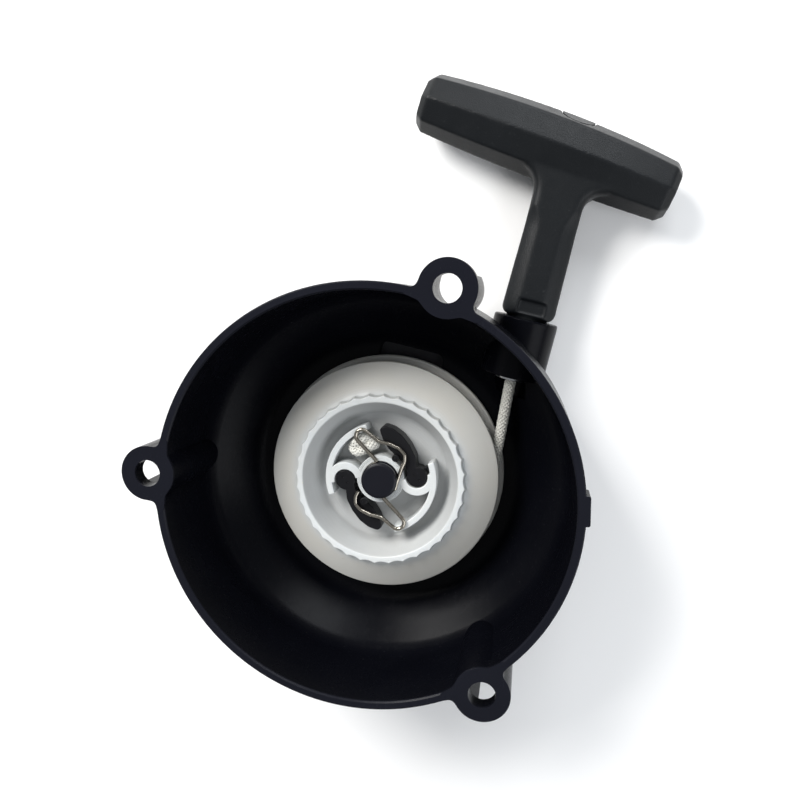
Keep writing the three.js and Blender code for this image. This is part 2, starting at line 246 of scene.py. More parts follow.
def moulded_black(name, colour, gloss, grain_depth, dust=0.35, shine=0.25, sheen_above=None):
    """Black moulded plastic: cloudy tone, fine grain, handling smears and a little pale dust.
    Faces higher than the height given, in millimetres, get a painted sheen in a duller grey."""
    finish = Finish(name)
    place = finish.place()
    cloud = finish.noise(place, 55, 4, 0.6)
    smear = finish.noise(finish.stretched(place, 1, 0.35, 1), 210, 5, 0.65)
    grain = finish.noise(place, 4200, 2, 0.6)
    speck = finish.ramp(finish.noise(place, 1500, 1, 0.4), 0.70, 0.78)
    toned = finish.mix(cloud, paler(colour, 0.8), paler(colour, 1.35, 0.001))
    dust_and_sheen = finish.mix(speck * finish.ramp(cloud, 0.45, 0.7) * dust, toned, paler(colour, 2.5, 0.015))
    if sheen_above is not None:
        height = finish.node("ShaderNodeSeparateXYZ", None, {0: place}, output=2)
        # painted sheen: faces above the given height are mixed towards a paler grey
        top_sheen = finish.ramp(height, (sheen_above - 0.9) * MM, sheen_above * MM)
        dust_and_sheen = finish.mix(top_sheen * (0.6 + cloud * 0.4), dust_and_sheen, paler(colour, 3.4, 0.004))
    return finish.set(
        Base_Color=dust_and_sheen,
        Roughness=gloss + (cloud - 0.5) * 0.12 + (smear - 0.5) * 0.16 + speck * 0.12,
        Normal=finish.bump(grain, grain_depth, 0.7, finish.bump(smear, 0.02, 0.5)),
        IOR=1.47,
        Specular_IOR_Level=shine,
    )


def natural_nylon(name, colour):
    """White nylon: cream and cool clouds, faint turned lines, painted shade on the floor and wall inside the
    ring, and soft light inside.
    """
    finish = Finish(name)
    place = finish.place()
    cloud = finish.noise(place, 70, 3, 0.55)
    mottle = finish.noise(place, 420, 4, 0.6)
    grain = finish.noise(place, 3600, 2, 0.5)
    fleck = finish.ramp(finish.noise(place, 900, 2, 0.5), 0.72, 0.78)
    cool = tuple(c * f for c, f in zip(colour[:3], (0.97, 1.01, 1.04))) + (1,)
    warm = tuple(c * f for c, f in zip(colour[:3], (1.0, 0.985, 0.94))) + (1,)
    across = finish.node("ShaderNodeVectorMath", {"operation": "LENGTH"},
                         {0: finish.stretched(place, 1, 1, 0)}, output=1)
    outer = finish.ramp(across, 21.5 * MM, 24.5 * MM)
    body = finish.mix(outer * 0.8 + finish.ramp(cloud, 0.35, 0.65) * 0.2, cool, warm)
    # painted shade: the floor and wall inside the raised ring are darkened
    height = finish.node("ShaderNodeSeparateXYZ", None, {0: place}, output=2)
    shaded_floor_or_wall = finish.math("MAXIMUM", 1 - finish.ramp(height, 11.5 * MM, 15 * MM),
                                finish.ramp(across, 15 * MM, 16.2 * MM))
    recess_shade = shaded_floor_or_wall * (1 - finish.ramp(across, 19.8 * MM, 20.5 * MM))
    body = finish.mix(recess_shade * 0.55, body, tuple(c * 0.5 for c in colour[:3]) + (1,))
    stained = finish.mix(fleck * 0.25, body, (0.42, 0.36, 0.27, 1))
    rings = finish.node("ShaderNodeTexWave", {"wave_type": "RINGS", "rings_direction": "Z"},
                        {"Vector": place, "Scale": 520, "Distortion": 0.6, "Detail": 1})
    return finish.set(
        Base_Color=stained,
        Roughness=0.36 + (mottle - 0.5) * 0.18 + (cloud - 0.5) * 0.1,
        Normal=finish.bump(grain, 0.02, 0.6, finish.bump(rings, 0.012, 0.5)),
        IOR=1.5,
        Subsurface_Weight=0.22,
        Subsurface_Radius=(1.0, 0.95, 0.85),
        Subsurface_Scale=1.6 * MM,
    )


def drawn_steel(name, colour, gloss):
    """Plated or bright steel: soft stains, drawing lines and small scratches."""
    finish = Finish(name)
    place = finish.place()
    stain = finish.noise(place, 260, 4, 0.6)
    line = finish.noise(finish.stretched(place, 1, 1, 3.5), 2600, 3, 0.6)
    spot = finish.ramp(finish.noise(place, 1300, 2, 0.5), 0.66, 0.76)
    body = finish.mix(stain, paler(colour, 0.72), paler(colour, 1.2))
    return finish.set(
        Base_Color=finish.mix(spot * 0.5, body, paler(colour, 0.4)),
        Metallic=1.0,
        Roughness=gloss + (stain - 0.5) * 0.14 + spot * 0.2,
        Normal=finish.bump(line, 0.012, 0.5),
    )


def braided_rope(name, colour, woven):
    """Polyester braid: fibres along each strand, glints and grey soiling.
    Where woven is set the braid itself is drawn too, round the line on which the handle leaves."""
    sizes = bpy.context.scene.starter_rope
    finish = Finish(name)
    place = finish.place()
    soil = finish.noise(place, 330, 4, 0.6)
    if woven:
        split = finish.node("ShaderNodeSeparateXYZ", None, {0: place})
        parts = [Wire(finish, split.socket.node.outputs[i]) for i in range(3)]
        turn = finish.math("ARCTAN2", parts[2] - ROPE_HEIGHT * MM, parts[0] - PULL_X * MM)
        turn = turn * (sizes.strands / 2)
        climb = parts[1] * (tau / sizes.lay * sizes.strands / 2)
        one_way = finish.math("ABSOLUTE", finish.math("SINE", turn + climb))
        other_way = finish.math("ABSOLUTE", finish.math("SINE", turn - climb))
        weave = finish.math("MAXIMUM", one_way, other_way)
        groove = finish.ramp(weave, 0.55, 0.95)
        fibre = finish.noise(finish.stretched(place, 1, 0.3, 1), 6500, 3, 0.6)
    else:
        strand = finish.node("ShaderNodeSeparateXYZ", None, {0: finish.along()})
        crest = finish.math("SINE", strand * tau)
        groove = finish.ramp(crest, -0.1, 0.75)
        fibre = finish.noise(finish.stretched(finish.along(), 9, 0.35, 1), 3.2, 3, 0.6)
    body = finish.mix(soil * 0.8, colour, paler(colour, 0.66))
    shaded = finish.mix((1 - groove) * 0.5, body, paler(colour, 0.5))
    glint = finish.mix(finish.ramp(fibre, 0.54, 0.7) * 0.75, shaded, paler(colour, 1.22))
    return finish.set(
        Base_Color=glint,
        Roughness=0.52 - finish.ramp(fibre, 0.5, 0.75) * 0.2,
        Normal=finish.bump(fibre, 0.07, 0.7, finish.bump(groove, 0.22 if woven else 0.03, 0.9)),
        Sheen_Weight=0.3,
        Sheen_Roughness=0.4,
    )


def pale_floor(name, colour):
    """A pale floor with painted shade under the bowl, so that no white shows through the rear window."""
    finish = Finish(name)
    place = finish.place()
    tone = finish.noise(place, 9, 3, 0.5)
    paper = finish.mix(tone, colour, paler(colour, 0.985))
    away = finish.node("ShaderNodeVectorMath", {"operation": "LENGTH"}, {0: place}, output=1)
    # painted shade under the bowl, fading out towards the rim
    under = finish.ramp(away, 40 * MM, 46 * MM)
    shade_under_bowl = (0.02, 0.02, 0.024, 1)
    return finish.set(Base_Color=finish.mix(under, shade_under_bowl, paper), Roughness=0.75 + tone * 0.1)


# ---------------------------------------------------------------- modelling

def clear_selection():
    if bpy.context.mode != "OBJECT":
        bpy.ops.object.mode_set(mode="OBJECT")
    bpy.ops.object.select_all(action="DESELECT")


def activate(piece):
    clear_selection()
    piece.select_set(True)
    bpy.context.view_layer.objects.active = piece
    return piece


def named(name):
    piece = bpy.context.active_object
    piece.name = piece.data.name = name
    return piece


def settle(piece):
    """Puts the piece's place, turn and scale into its mesh."""
    activate(piece)
    bpy.ops.object.transform_apply(location=True, rotation=True, scale=True)
    return piece


def rounded(points, radii, steps=5):
    """A closed outline in millimetres with its corners rounded, one radius for all or one each."""
    result = []
    for i, point in enumerate(points):
        corner = Vector(point)
        radius = radii[i] if isinstance(radii, (list, tuple)) else radii
        before = Vector(points[i - 1]) - corner
        after = Vector(points[(i + 1) % len(points)]) - corner
        half = before.angle(after) / 2
        cut = min(radius / math.tan(half), before.length * 0.49, after.length * 0.49)
        if radius == 0 or cut < 1e-3:
            result.append(corner)
            continue
        start, end = corner + before.normalized() * cut, corner + after.normalized() * cut
        for k in range(steps + 1):
            t = k / steps
            result.append(start * (1 - t) ** 2 + corner * 2 * t * (1 - t) + end * t * t)
    return result


def chain(name, points):
    """A closed chain of edges through points in metres, left in edit mode with all of it selected."""
    clear_selection()
    bpy.ops.mesh.primitive_plane_add(size=MM, location=(0, 0, 0))
    piece = named(name)
    bpy.ops.object.mode_set(mode="EDIT")
    bpy.ops.mesh.select_all(action="SELECT")
    bpy.ops.mesh.merge(type="CENTER")
    bpy.ops.transform.translate(value=points[0])
    for before, after in zip(points, points[1:] + points[:1]):
        bpy.ops.mesh.extrude_region_move(TRANSFORM_OT_translate={"value": after - before})
    bpy.ops.mesh.select_all(action="SELECT")
    bpy.ops.mesh.remove_doubles(threshold=WELD)
    return piece


def turned(name, outline, steps=192):
    """A closed outline of (radius, height) in millimetres, spun about Z."""
    piece = chain(name, [Vector((r, 0, z)) * MM for r, z in outline])
    bpy.ops.mesh.spin(steps=steps, angle=tau, center=(0, 0, 0), axis=(0, 0, 1))
    bpy.ops.mesh.select_all(action="SELECT")
    bpy.ops.mesh.remove_doubles(threshold=WELD)
    bpy.ops.mesh.dissolve_degenerate(threshold=WELD)
    bpy.ops.mesh.select_all(action="SELECT")
    bpy.ops.mesh.normals_make_consistent(inside=False)
    bpy.ops.object.mode_set(mode="OBJECT")
    return piece


def plate(name, outline, bottom, top, edge=0.0):
    """A flat outline in millimetres given a thickness, with its edges rounded by edge."""
    piece = chain(name, [Vector((x, y, bottom)) * MM for x, y in outline])
    bpy.ops.mesh.edge_face_add()
    bpy.ops.mesh.extrude_region_move(TRANSFORM_OT_translate={"value": (0, 0, (top - bottom) * MM)})
    bpy.ops.mesh.select_all(action="SELECT")
    bpy.ops.mesh.normals_make_consistent(inside=False)
    bpy.ops.object.mode_set(mode="OBJECT")
    return soften(piece, edge) if edge else piece


def rod(name, radius, start, end, steps=64, edge=0.0):
    """A rod between two points in millimetres."""
    start, end = Vector(start) * MM, Vector(end) * MM
    clear_selection()
    bpy.ops.mesh.primitive_cylinder_add(
        vertices=steps, radius=radius * MM, depth=(end - start).length, location=(start + end) / 2,
        rotation=UP.rotation_difference(end - start).to_euler())
    piece = settle(named(name))
    return soften(piece, edge) if edge else piece


def use(piece, kind, **settings):
    """Adds a modifier and applies it."""
    modifier = piece.modifiers.new(kind.lower(), kind)
    for key, value in settings.items():
        setattr(modifier, key, value)
    activate(piece)
    bpy.ops.object.modifier_apply(modifier=modifier.name)
    return piece


def soften(piece, edge, segments=3, angle=38):
    return use(piece, "BEVEL", width=edge * MM, segments=segments, limit_method="ANGLE",
               angle_limit=math.radians(angle), use_clamp_overlap=True)


def cut_or_join(piece, operation, *tools):
    for tool in tools:
        use(piece, "BOOLEAN", operation=operation, object=tool, solver="EXACT")
        bpy.data.objects.remove(tool)
    return piece


def merge(first, *others):
    """Several meshes as one object."""
    activate(first)
    for other in others:
        other.select_set(True)
    bpy.ops.object.join()
    return first


def turn(piece, angle, centre=(0, 0, 0)):
    """The piece's mesh turned about Z by an angle in degrees."""
    middle = Vector(centre) * MM
    spin = Matrix.Translation(middle) @ Matrix.Rotation(math.radians(angle), 4, "Z")
    piece.data.transform(spin @ Matrix.Translation(-middle))
    return piece


def twin(piece, name, angle):
    """A copy with its own mesh, turned about Z."""
    copy = piece.copy()
    copy.data = piece.data.copy()
    copy.name = copy.data.name = name
    bpy.context.scene.collection.objects.link(copy)
    return turn(copy, angle)


def smooth(piece, angle=32, flats=False):
    """Smooth shading up to an angle; flats keeps large faces flat beside small rounded ones."""
    activate(piece)
    bpy.ops.object.shade_smooth_by_angle(angle=math.radians(angle))
    return use(piece, "WEIGHTED_NORMAL", keep_sharp=True) if flats else piece


def fit(piece, body, slot, material, *nodes):
    """Gives a finished piece its material and its body, and hides the CAD nodes that it stands for."""
    piece.data.materials.clear()
    piece.data.materials.append(material)
    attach(piece, body)
    if nodes:
        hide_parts(*nodes)
    return piece


def polar(radius, angle):
    return radius * cos(math.radians(angle)), radius * sin(math.radians(angle))


def arc(radius, start, end, count, centre=(0, 0)):
    """Points on an arc between two angles in degrees."""
    steps = [start + (end - start) * i / count for i in range(count + 1)]
    return [(centre[0] + polar(radius, a)[0], centre[1] + polar(radius, a)[1]) for a in steps]


# ---------------------------------------------------------------- curved routes

def through(points, per_span):
    """Points on one smooth curve through the given ones."""
    points = [Vector(p) for p in points]
    ends = [points[0] * 2 - points[1], *points, points[-1] * 2 - points[-2]]
    route = []
    for a, b, c, d in zip(ends, ends[1:], ends[2:], ends[3:]):
        for k in range(per_span):
            t = k / per_span
            route.append(0.5 * (2 * b + (c - a) * t + (2 * a - 5 * b + 4 * c - d) * t * t
                                + (3 * b - a - 3 * c + d) * t ** 3))
    return [*route, points[-1]]


def even(route, step):
    """The same route with points one step apart, in the route's own units."""
    result, spare = [route[0]], 0.0
    for a, b in zip(route, route[1:]):
        span = (b - a).length
        while spare + span >= step:
            a = a + (b - a) * ((step - spare) / span)
            span, spare = (b - a).length, 0.0
            result.append(a)
        spare += span
    return result


def frames(route):
    """A pair of crossed directions at each point, carried along the route without twisting."""
    sides = []
    ahead = (route[1] - route[0]).normalized()
    side = ahead.orthogonal().normalized()
    for i, _ in enumerate(route):
        now = (route[min(i + 1, len(route) - 1)] - route[max(i - 1, 0)]).normalized()
        side = (ahead.rotation_difference(now) @ side).normalized()
        ahead = now
        sides.append((side, ahead.cross(side)))
    return sides


def wire_piece(name, route, radius, resolution=5, closed_ends=True):
    """A round wire or cord along a route in millimetres, as a mesh."""
    clear_selection()
    bpy.ops.curve.primitive_bezier_curve_add()
    piece = named(name)
    curve = piece.data
    curve.splines.clear()
    spline = curve.splines.new("POLY")
    spline.points.add(len(route) - 1)
    for point, place in zip(spline.points, route):
        point.co = (*(place * MM), 1)
    curve.dimensions = "3D"
    curve.bevel_depth = radius * MM
    curve.bevel_resolution = resolution
    curve.use_fill_caps = closed_ends
    activate(piece)
    bpy.ops.object.convert(target="MESH")
    bpy.ops.object.mode_set(mode="EDIT")
    bpy.ops.mesh.select_all(action="SELECT")
    bpy.ops.mesh.remove_doubles(threshold=WELD)
    bpy.ops.mesh.normals_make_consistent(inside=False)
    bpy.ops.object.mode_set(mode="OBJECT")
    return smooth(settle(piece), 50)


def braid(name, points, per_span=16, scale=1.0):
    """A round braid along a curve through points in millimetres: strands that cross over and under."""
    sizes = bpy.context.scene.starter_rope
    radius, lay = sizes.radius / MM * scale, sizes.lay / MM * scale
    half_thick, step = radius * 0.17, lay / 20
    wave = radius * 0.11
    middle = radius - half_thick - wave
    width = tau * middle / sizes.strands * 0.42
    route = even(through(points, per_span), step)
    sides = frames(route)
    around = 8
    vertices, faces, across = [], [], []
    for way in (1, -1):
        for number in range(sizes.strands):
            first = len(vertices)
            for i, (place, (side, other)) in enumerate(zip(route, sides)):
                walked = i * step
                angle = way * tau * walked / lay + tau * number / sizes.strands
                out = side * cos(angle) + other * sin(angle)
                sideways = out.cross(side.cross(other))
                lift = middle + way * wave * cos(tau * walked / lay * sizes.strands)
                for k in range(around):
                    a = tau * k / around
                    spot = place + out * (lift + half_thick * sin(a)) + sideways * (width * cos(a))
                    vertices.append(spot * MM)
            rings = len(route)
            for i in range(rings - 1):
                for k in range(around):
                    near, far = first + i * around, first + (i + 1) * around
                    faces.append((near + k, near + (k + 1) % around, far + (k + 1) % around, far + k))
                    across.append((k / around, (k + 1) / around, i * step, (i + 1) * step))
            faces.append(tuple(first + k for k in reversed(range(around))))
            across.append(None)
            faces.append(tuple(first + (rings - 1) * around + k for k in range(around)))
            across.append(None)
    mesh = bpy.data.meshes.new(name)
    mesh.from_pydata(vertices, [], faces)
    sheet = mesh.uv_layers.new(name="strand").data
    for polygon, spread in zip(mesh.polygons, across):
        if spread:
            left, right, near, far = spread
            corners = ((left, near), (right, near), (right, far), (left, far))
            for loop, corner in zip(polygon.loop_indices, corners):
                sheet[loop].uv = corner
    piece = bpy.data.objects.new(name, mesh)
    bpy.context.scene.collection.objects.link(piece)
    activate(piece)
    bpy.ops.object.mode_set(mode="EDIT")
    bpy.ops.mesh.select_all(action="SELECT")
    bpy.ops.mesh.normals_make_consistent(inside=False)
    bpy.ops.object.mode_set(mode="OBJECT")
    core = wire_piece(name + "_core", route, middle - wave * 0.4, 3)
    return smooth(merge(piece, core), 60)


# ---------------------------------------------------------------- housing

EAR_ANGLES = (81.5, 188, 316)
POST = {"radius": 4.6, "foot": 6.5, "foot_height": 1.2, "neck": 3.7, "neck_from": 16, "neck_to": 17.1}
REAR_WINDOW = {"left": -10, "right": 7.3, "near": 27.4, "far": 33.4}
OUTLET = {"start": 26, "inside": 33.2, "end": 48, "bore": 4.9, "socket": 5.3, "socket_from": 44}
EAR_THICKNESS = 4
PLAY = 0.3


def bowl_outlines():
    """The bowl's outside and its hollow, both from the axis outwards."""
    s = bpy.context.scene.starter_housing
    rim, wall, back, foot, floor = (v / MM for v in (s.rim, s.wall, s.back, s.foot, s.floor))
    outside = rounded([(0, 0), (back, 0), (rim - 0.3, foot), (rim, RIM_HEIGHT), (0, RIM_HEIGHT)],
                      [0, 6, 8, 0.45, 0], 10)
    hollow = rounded([(0, floor), (back - 0.1, floor), (rim - wall - 0.4, foot + 0.9),
                      (rim - wall, RIM_HEIGHT - 0.35), (rim - wall + 0.35, RIM_HEIGHT),
                      (rim - wall + 0.35, RIM_HEIGHT + 5), (0, RIM_HEIGHT + 5)], [0, 7, 8, 0.2, 0, 0, 0], 10)
    return outside, hollow


def ear_web():
    """The plate that blends an ear on the X axis into the rim on both sides of it."""
    outline = [(48.7, -9.9), (49.7, -6.7), (52, -6.55), (52, 6.55), (49.7, 6.7), (48.7, 9.9), (47.4, 8.35),
               (47.3, 5), (46.3, 3.3), (46.3, -3.3), (47.3, -5), (47.4, -8.35)]
    outline = rounded(outline, [0, 3, 0, 0, 3, 0, 0, 2, 0, 0, 2, 0], 8)
    return plate("ear_web", outline, RIM_HEIGHT - EAR_THICKNESS + 0.07, RIM_HEIGHT + 0.03)


def bolt_column(angle):
    """An ear's column: its top is the ear, its foot runs out in a slope towards the bowl."""
    s = bpy.context.scene.starter_housing
    circle, radius = s.ear_circle / MM, s.ear / MM
    column = rod("ear_column", radius, (circle, 0, 8), (circle, 0, RIM_HEIGHT + 0.02), 72)
    bpy.ops.object.mode_set(mode="EDIT")
    bpy.ops.mesh.select_all(action="SELECT")
    bpy.ops.mesh.bisect(plane_co=Vector((44, 0, 8)) * MM, plane_no=(1, 0, -1),
                        clear_outer=True, use_fill=True)
    bpy.ops.object.mode_set(mode="OBJECT")
    return turn(cut_or_join(soften(column, 0.3, 3, 50), "UNION", ear_web()), angle)


def driver_groove(angle):
    """The slot behind an ear that lets a bolt's head in."""
    s = bpy.context.scene.starter_housing
    circle, radius = s.ear_circle / MM, s.ear / MM - 2
    outline = [*arc(radius, 90, 270, 32, (circle, 0)), (circle + 12, -radius), (circle + 12, radius)]
    return turn(plate("driver_groove", outline, -1, RIM_HEIGHT - EAR_THICKNESS), angle)


def bolt_hole(angle):
    s = bpy.context.scene.starter_housing
    x, y = polar(s.ear_circle / MM, angle)
    return rod("bolt_hole", s.bolt / MM, (x, y, RIM_HEIGHT - EAR_THICKNESS - 1), (x, y, RIM_HEIGHT + 1), 64)


def pull_rod(name, radius, start, end, steps=64, edge=0.0):
    """A rod on the line on which the handle leaves."""
    return rod(name, radius, (PULL_X, start, ROPE_HEIGHT), (PULL_X, end, ROPE_HEIGHT), steps, edge)


def rear_window():
    w = REAR_WINDOW
    corners = [(w["left"], w["near"]), (w["right"], w["near"]), (w["right"], w["far"]), (w["left"], w["far"])]
    return plate("rear_window", rounded(corners, 2.2, 6), -1, 5)


def rim_tab():
    """The small step on the rim that locates the starter on its cover."""
    half, depth, proud = 3.4, 6, 0.8
    rim = bpy.context.scene.starter_housing.rim / MM
    outline = [(rim - 1.5, -half), (rim + proud, -half), (rim + proud, half), (rim - 1.5, half)]
    return turn(plate("rim_tab", rounded(outline, [0, 0.5, 0.5, 0], 4), RIM_HEIGHT - depth, RIM_HEIGHT), 14)


def back_rings():
    """Two shallow steps turned into the back face, round the post."""
    return [turned("back_ring", [(inner, -1), (outer, -1), (outer, 0.5), (inner, 0.5)], 128)
            for inner, outer in ((9.5, 11), (22, 23.2))]


class STARTER_OT_housing(bpy.types.Operator):
    """Bowl housing with its ears, rope outlet and rear window"""
    bl_idname = "starter.housing"
    bl_label = "Housing"

    def execute(self, context):
        colours = context.scene.starter_colours
        outlet = context.scene.starter_housing.outlet / MM
        outside, hollow = bowl_outlines()
        shell = turned("housing_shell", outside)
        boss = pull_rod("outlet_boss", outlet, OUTLET["start"], OUTLET["end"], 96, 0.5)
        cut_or_join(shell, "UNION", boss, rim_tab())
        cut_or_join(shell, "DIFFERENCE", turned("hollow", hollow))
        inner_boss = pull_rod("inner_boss", outlet - 0.03, OUTLET["inside"], OUTLET["socket_from"], 96, 0.5)
        cut_or_join(shell, "UNION", merge(inner_boss, *[bolt_column(a) for a in EAR_ANGLES]))
        first, *others = [driver_groove(a) for a in EAR_ANGLES]
        passage = pull_rod("rope_passage", OUTLET["bore"], OUTLET["start"] + 2, OUTLET["end"] - 2)
        post_hole = rod("post_hole", POST["radius"] + PLAY, (0, 0, -1), (0, 0, 5))
        cut_or_join(shell, "DIFFERENCE", merge(first, *others, rear_window(), passage, post_hole))
        first, *others = [bolt_hole(a) for a in EAR_ANGLES]
        socket = pull_rod("outlet_socket", OUTLET["socket"], OUTLET["socket_from"], OUTLET["end"] + 1)
        foot = rod("post_foot", POST["foot"] + PLAY, (0, 0, -1), (0, 0, POST["foot_height"] + PLAY))
        cut_or_join(shell, "DIFFERENCE", merge(first, *others, socket, foot, *back_rings()))
        smooth(shell, 28, True)
        # painted sheen on the top faces of the rim and ears
        sheen_above = RIM_HEIGHT - 0.1
        material = moulded_black("housing_plastic", colours.housing, 0.26, 0.035, 0.35, 0.075, sheen_above)
        fit(shell, "housing_body", "housing_plastic", material, "housing")
        return {"FINISHED"}


class STARTER_OT_post(bpy.types.Operator):
    """Centre post with its grooved head, and the steel bush that guides the rope"""
    bl_idname = "starter.post"
    bl_label = "Post and rope guide"

    def execute(self, context):
        colours = context.scene.starter_colours
        p = POST
        outline = [(0, 0), (p["foot"], 0), (p["foot"], p["foot_height"]), (p["radius"], p["foot_height"]),
                   (p["radius"], p["neck_from"]), (p["neck"], p["neck_from"]), (p["neck"], p["neck_to"]),
                   (p["radius"], p["neck_to"]), (p["radius"], POST_TOP - 0.25), (p["radius"] - 0.7, POST_TOP),
                   (0, POST_TOP)]
        edges = [0, 0.3, 0, 0.3, 0.15, 0, 0, 0.15, 0.35, 0.5, 0]
        post = smooth(turned("post", rounded(outline, edges, 5), 96), 40)
        fit(post, "housing_body", "post_plastic",
            moulded_black("post_plastic", colours.post, 0.34, 0.02, 0.5), "reel_post")
        low, high = reach("rope_guide_bush", 1)
        radius = (reach("rope_guide_bush", 0)[1] - reach("rope_guide_bush", 0)[0]) / 2
        bore, lip = 2.2, 1.1
        ring = [(bore + lip, 0), (radius - 0.2, 0), (radius, 0.5), (radius, high - low), (bore, high - low),
                (bore, lip)]
        bush = turned("rope_guide", rounded(ring, [1.0, 0.2, 0.4, 0.3, 0.3, 0.9], 6), 96)
        bush.data.transform(Matrix.Translation(Vector((PULL_X, low, ROPE_HEIGHT)) * MM)
                            @ Matrix.Rotation(-tau / 4, 4, "X"))
        fit(smooth(bush, 40), "housing_body", "bush_steel",
            drawn_steel("bush_steel", colours.bush, 0.2), "rope_guide_bush")
        return {"FINISHED"}


# ---------------------------------------------------------------- reel

PIVOT = Vector((8.9, 2.9))
HUB = 17.5
REEL_FLOOR = 10.5
CAGE_TOP = 16
BOSS = 6.1


def reel_outline():
    s = bpy.context.scene.starter_reel
    rear, front, ring = s.rear / MM, s.front / MM, s.ring / MM
    bore = 4.75
    ridges = []
    for groove in (BOSS - 0.35, BOSS - 0.75):
        ridges += [(groove - 0.12, CAGE_TOP), (groove - 0.06, CAGE_TOP - 0.12),
                   (groove + 0.06, CAGE_TOP - 0.12), (groove + 0.12, CAGE_TOP)]
    plain = [
        (bore, CAGE_TOP), *sorted(ridges), (BOSS, CAGE_TOP), (BOSS, REEL_FLOOR), (16.6, REEL_FLOOR),
        (20.1, REEL_TOP), (ring, REEL_TOP), (ring + 0.3, 16.5), (ring + 1.3, 15.93), (front, 12.1),
        (front, 10.6), (HUB, 10.6), (HUB, 5.2), (rear, 5.2), (rear, 3.6), (13.7, 3.6), (13.7, 4.7),
        (12.8, 4.7), (12.8, 8), (bore, 8),
    ]
    softness = {(BOSS, CAGE_TOP): 0.25, (BOSS, REEL_FLOOR): 0.5,
                (16.6, REEL_FLOOR): 1.4, (20.1, REEL_TOP): 0.5,
                (ring, REEL_TOP): 0.35, (ring + 0.3, 16.5): 0.6, (front, 12.1): 0.45, (front, 10.6): 0.45,
                (HUB, 10.6): 0.5, (HUB, 5.2): 0.5, (rear, 5.2): 0.5, (rear, 3.6): 0.5}
    return rounded(plain, [softness.get(p, 0) for p in plain], 5)


def scallop(piece):
    """Presses scallops into the outside of the raised ring, with a cusp between each pair."""
    s = bpy.context.scene.starter_reel
    ring, depth = s.ring / MM, s.scallop / MM
    for vertex in piece.data.vertices:
        x, y, z = vertex.co / MM
        radius = math.hypot(x, y)
        if z < 16.2 or radius < ring - 0.7:
            continue
        across = 2 * (math.atan2(y, x) / tau * s.scallops % 1) - 1
        pressed = depth * (1 - across ** 2) * min(1.0, (z - 16.2) / 0.3)
        vertex.co.x *= 1 - pressed / radius
        vertex.co.y *= 1 - pressed / radius
    return piece


def ring_wall(name, inner, outer, start, end, centre=(0, 0), edge=0.25):
    outline = [*arc(outer, start, end, 28, centre), *arc(inner, end, start, 28, centre)]
    return plate(name, outline, REEL_FLOOR - 0.3, CAGE_TOP, edge)


def cage_half(angle):
    """One curved wall of the cage and the cup that holds a pawl's disc."""
    cage = bpy.context.scene.starter_reel.cage / MM
    wall = ring_wall("cage_wall", cage - 1.6, cage, 118, 213)
    cup = ring_wall("pawl_cup", 2.85, 4.8, 25, 207, tuple(-PIVOT))
    return turn(cut_or_join(wall, "UNION", cup), angle)


class STARTER_OT_reel(bpy.types.Operator):
    """White rope reel with its scalloped ring, cage and pawl cups"""
    bl_idname = "starter.reel"
    bl_label = "Reel"

    def execute(self, context):
        colours = context.scene.starter_colours
        reel = scallop(turned("rope_reel", reel_outline(), 288))
        cut_or_join(reel, "UNION", cage_half(0), cage_half(180))
        bore = rod("reel_bore", 4.75, (0, 0, 2), (0, 0, 20), 96)
        knot_hole = rod("knot_hole", 1.75, (-7.8, 7.8, 10.6), (-13.6, 13.6, 5.1), 32)
        cut_or_join(reel, "DIFFERENCE", bore, knot_hole)
        smooth(reel, 30, True)
        nylon = natural_nylon("reel_nylon", colours.nylon)
        fit(reel, "reel_body", "reel_nylon", nylon, "reel")
        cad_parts["spring_cover"].data.materials.clear()
        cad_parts["spring_cover"].data.materials.append(nylon)
        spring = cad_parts["recoil_spring"]
        spring.data.materials.clear()
        spring.data.materials.append(drawn_steel("spring_steel", colours.spring, 0.3))
        return {"FINISHED"}


# ---------------------------------------------------------------- pawls and clip

PAWL = {"bottom": 10.9, "top": 15.6, "lug_top": 17.4, "disc": 2.6, "lug": (2.7, 6.6), "lug_radius": 0.95}


def make_pawl():
    p = PAWL
    arm = [(7.4, 7.9), (5.3, 10.4), (2.8, 12.4), (0.2, 13.5), (-2.4, 13.7), (-3.3, 12.4), (-1.7, 9.9),
           (0.3, 8), (3, 6.5), (5.6, 4.9)]
    disc = arc(p["disc"], 168, 465, 40, PIVOT)
    outline = rounded([*arm, *disc], [3, 3, 3, 3, 1.2, 1.2, 3, 3, 3, 1.5] + [0] * len(disc), 6)
    heel = rounded([(8.6, 4.4), (10.9, 5.9), (11.2, 4), (9.6, 3.2)], 0.45, 4)
    pawl = plate("pawl_arm_1", outline, p["bottom"], p["top"], 0.3)
    nose = plate("pawl_heel", heel, p["bottom"] + 0.1, p["bottom"] + 2.4, 0.25)
    lug = rod("pawl_lug", p["lug_radius"], (*p["lug"], p["top"] - 0.6), (*p["lug"], p["lug_top"]), 40, 0.25)
    cut_or_join(pawl, "UNION", nose, lug)
    dots = []
    pits = [(PIVOT.x - 0.7, PIVOT.y + 0.5, p["top"]), (PIVOT.x + 0.8, PIVOT.y - 0.6, p["top"]),
            (p["lug"][0] - 0.35, p["lug"][1] + 0.2, p["lug_top"]),
            (p["lug"][0] + 0.4, p["lug"][1] - 0.2, p["lug_top"])]
    for pit in pits:
        clear_selection()
        bpy.ops.mesh.primitive_uv_sphere_add(segments=16, ring_count=8, radius=0.27 * MM,
                                             location=Vector(pit) * MM)
        dots.append(settle(named("pawl_dot")))
    cut_or_join(pawl, "DIFFERENCE", merge(*dots))
    return smooth(pawl, 35, True)


